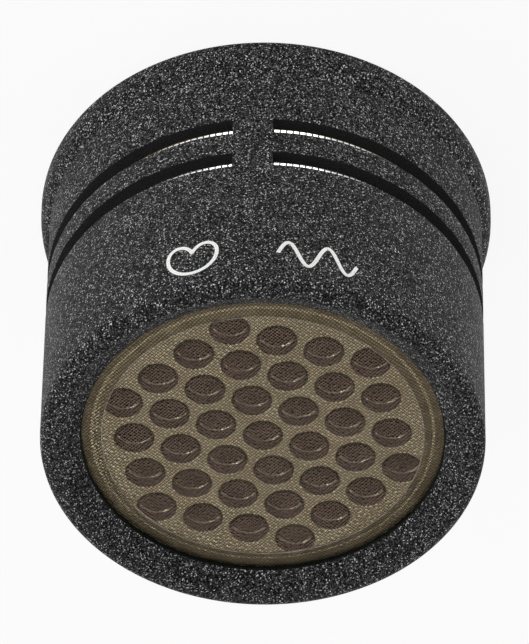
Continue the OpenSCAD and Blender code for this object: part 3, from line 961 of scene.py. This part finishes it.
# Cup, seal and felt
# The cup is moulded in a pale insulating plastic, a rubber ring seals it against the housing, and
# a thin grey felt damps the chamber behind the backplate.
cup_cream = (0.62, 0.60, 0.54)
cup_shade = (0.52, 0.50, 0.44)
rubber_black = (0.014, 0.014, 0.014)
rubber_grey = (0.03, 0.03, 0.03)
felt_grey = (0.34, 0.33, 0.31)
felt_dark = (0.16, 0.155, 0.145)
felt_fibre = 0.07 * MM
felt_depth = 0.03 * MM
felt_stops = [(0.3, felt_dark), (0.65, felt_grey)]
cup_patch = 1.5 * MM
cup_grain = 0.08 * MM
rubber_patch = 0.3 * MM
rubber_rub = 0.1 * MM

moulded_cream = new_finish("moulded_cream", cup_cream, roughness=0.45)
mottle(moulded_cream, cup_patch, cup_shade, cup_cream)
cup_marks = pattern(moulded_cream, "ShaderNodeTexNoise", cup_grain)
relief(moulded_cream, cup_marks, mould_depth)
dress(moulded_cream, "insulator_cup")
rubber = new_finish("soft_rubber", rubber_black, roughness=0.6)
mottle(rubber, rubber_patch, rubber_black, rubber_grey, end=0.7)
roughen(rubber, rubber_rub, low=0.5, high=0.75)
dress(rubber, "seal_ring")
grey_felt = new_finish("grey_felt", felt_grey, roughness=0.95)
fibres = pattern(grey_felt, "ShaderNodeTexNoise", felt_fibre, Detail=4.0, Distortion=2.0)
tint(grey_felt, fibres, felt_stops)
relief(grey_felt, fibres, felt_depth)
dress(grey_felt, "damping_felt")

# Studio
# A white table in a white room. Large soft lamps stand low on all four sides, and two small ones
# higher up bring out the holes' ledges and the edges that catch the light.
floor_size = 0.9
floor_white = (0.85, 0.85, 0.85)
floor_glow = 0.9
lamp_distance = 0.30
lamp_size = (0.30, 0.30)
side_power = 0.8
back_power = 0.4
front_power = 0.7
key_size = (0.05, 0.05)
key_power = 0.14
strip_size = (0.22, 0.07)
strip_power = 0.2
room_level = 0.22
room_glow = 1.0

bpy.ops.object.select_all(action="DESELECT")
bpy.ops.mesh.primitive_plane_add(size=floor_size)
floor = bpy.context.object
floor.name = "table"


def glowing(tree, shader, glow_at_most):
    """Mixes a share of plain white into a shader where the camera, a gloss or a glass sees it."""
    path = tree.nodes.new("ShaderNodeLightPath")
    seen = tree.nodes.new("ShaderNodeMath")
    seen.operation = "MAXIMUM"
    tree.links.new(path.outputs["Is Camera Ray"], seen.inputs[0])
    tree.links.new(path.outputs["Is Glossy Ray"], seen.inputs[1])
    through = tree.nodes.new("ShaderNodeMath")
    through.operation = "MAXIMUM"
    tree.links.new(seen.outputs["Value"], through.inputs[0])
    tree.links.new(path.outputs["Is Transmission Ray"], through.inputs[1])
    share = tree.nodes.new("ShaderNodeMath")
    share.operation = "MULTIPLY"
    share.inputs[1].default_value = glow_at_most
    tree.links.new(through.outputs["Value"], share.inputs[0])
    of_world = shader.bl_idname == "ShaderNodeBackground"
    white = tree.nodes.new("ShaderNodeBackground" if of_world else "ShaderNodeEmission")
    white.inputs["Color"].default_value = (1, 1, 1, 1)
    white.inputs["Strength"].default_value = 1
    mix = tree.nodes.new("ShaderNodeMixShader")
    tree.links.new(share.outputs["Value"], mix.inputs["Fac"])
    tree.links.new(shader.outputs[0], mix.inputs[1])
    tree.links.new(white.outputs[0], mix.inputs[2])
    return mix


table_white = bpy.data.materials.new("table_white")
table_white.use_nodes = True
tree = table_white.node_tree
matt = tree.nodes.new("ShaderNodeBsdfDiffuse")
matt.inputs["Color"].default_value = (*floor_white, 1)
lit_table = glowing(tree, matt, floor_glow)
tree.links.new(lit_table.outputs[0], tree.nodes["Material Output"].inputs["Surface"])
floor.data.materials.append(table_white)

world = bpy.data.worlds.new("white_room")
scene.world = world
world.use_nodes = True
tree = world.node_tree
room = tree.nodes["Background"]
room.inputs["Color"].default_value = (1, 1, 1, 1)
room.inputs["Strength"].default_value = room_level
lit_room = glowing(tree, room, room_glow)
tree.links.new(lit_room.outputs[0], tree.nodes["World Output"].inputs["Surface"])

middle_z = length / 2
for name, azimuth, elevation, size, power in (
    ("left_lamp", 180, 4, lamp_size, side_power),
    ("right_lamp", 0, 4, lamp_size, side_power),
    ("rear_lamp", 90, 8, lamp_size, back_power),
    ("front_lamp", -90, 2, lamp_size, front_power),
    ("rear_key", 50, 33, key_size, key_power),
    ("front_key", -42, 36, strip_size, strip_power),
):
    azimuth, elevation = math.radians(azimuth), math.radians(elevation)
    bpy.ops.object.light_add(type="AREA", location=(
        lamp_distance * math.cos(elevation) * math.cos(azimuth),
        lamp_distance * math.cos(elevation) * math.sin(azimuth),
        middle_z + lamp_distance * math.sin(elevation),
    ), rotation=(math.pi / 2 - elevation, 0, azimuth + math.pi / 2))
    lamp = bpy.context.object
    lamp.name = name
    lamp.data.shape = "RECTANGLE"
    lamp.data.size, lamp.data.size_y = size
    lamp.data.energy = power

scene.view_settings.view_transform = "Standard"
